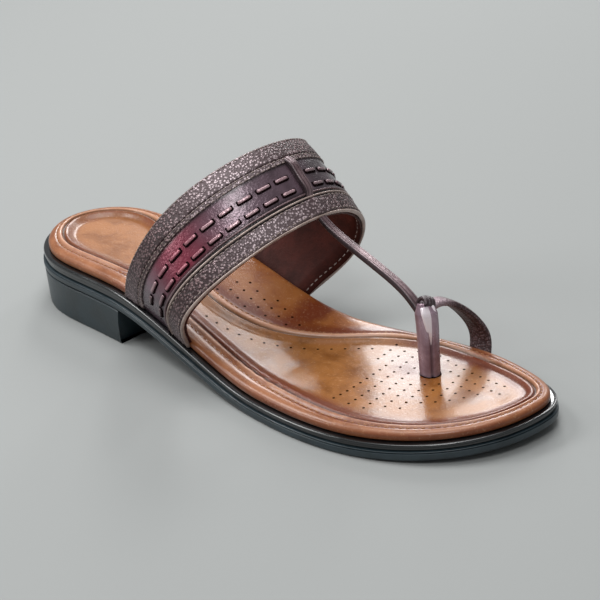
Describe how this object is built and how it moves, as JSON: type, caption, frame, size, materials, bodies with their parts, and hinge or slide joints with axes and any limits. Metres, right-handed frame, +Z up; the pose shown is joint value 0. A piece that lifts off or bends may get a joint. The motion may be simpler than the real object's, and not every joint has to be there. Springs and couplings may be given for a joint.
{
  "type": "flat toe ring sandal",
  "caption": "Flat leather sandal for the right foot with a wide instep band, a centre strap, a toe post, a toe ring, a padded footbed and a low block heel.",
  "frame": {"origin": "middle of the sandal's box, on the floor that it stands on", "axes": "+X from the heel to the toe, +Y to the medial side where the big toe lies, +Z up"},
  "size_m": [0.27, 0.0984, 0.0922],
  "materials": {
    "outsole": "satin",
    "heel": "satin",
    "midsole": "gloss",
    "footbed": "burnished, semi-gloss",
    "upper": "metallic pebbled borders and straps, patent centre panel"
  },
  "bodies": {
    "root": {"outsole": "outsole", "heel": "heel", "midsole": "midsole", "footbed": "footbed", "upper": "upper"}
  },
  "joints": []
}
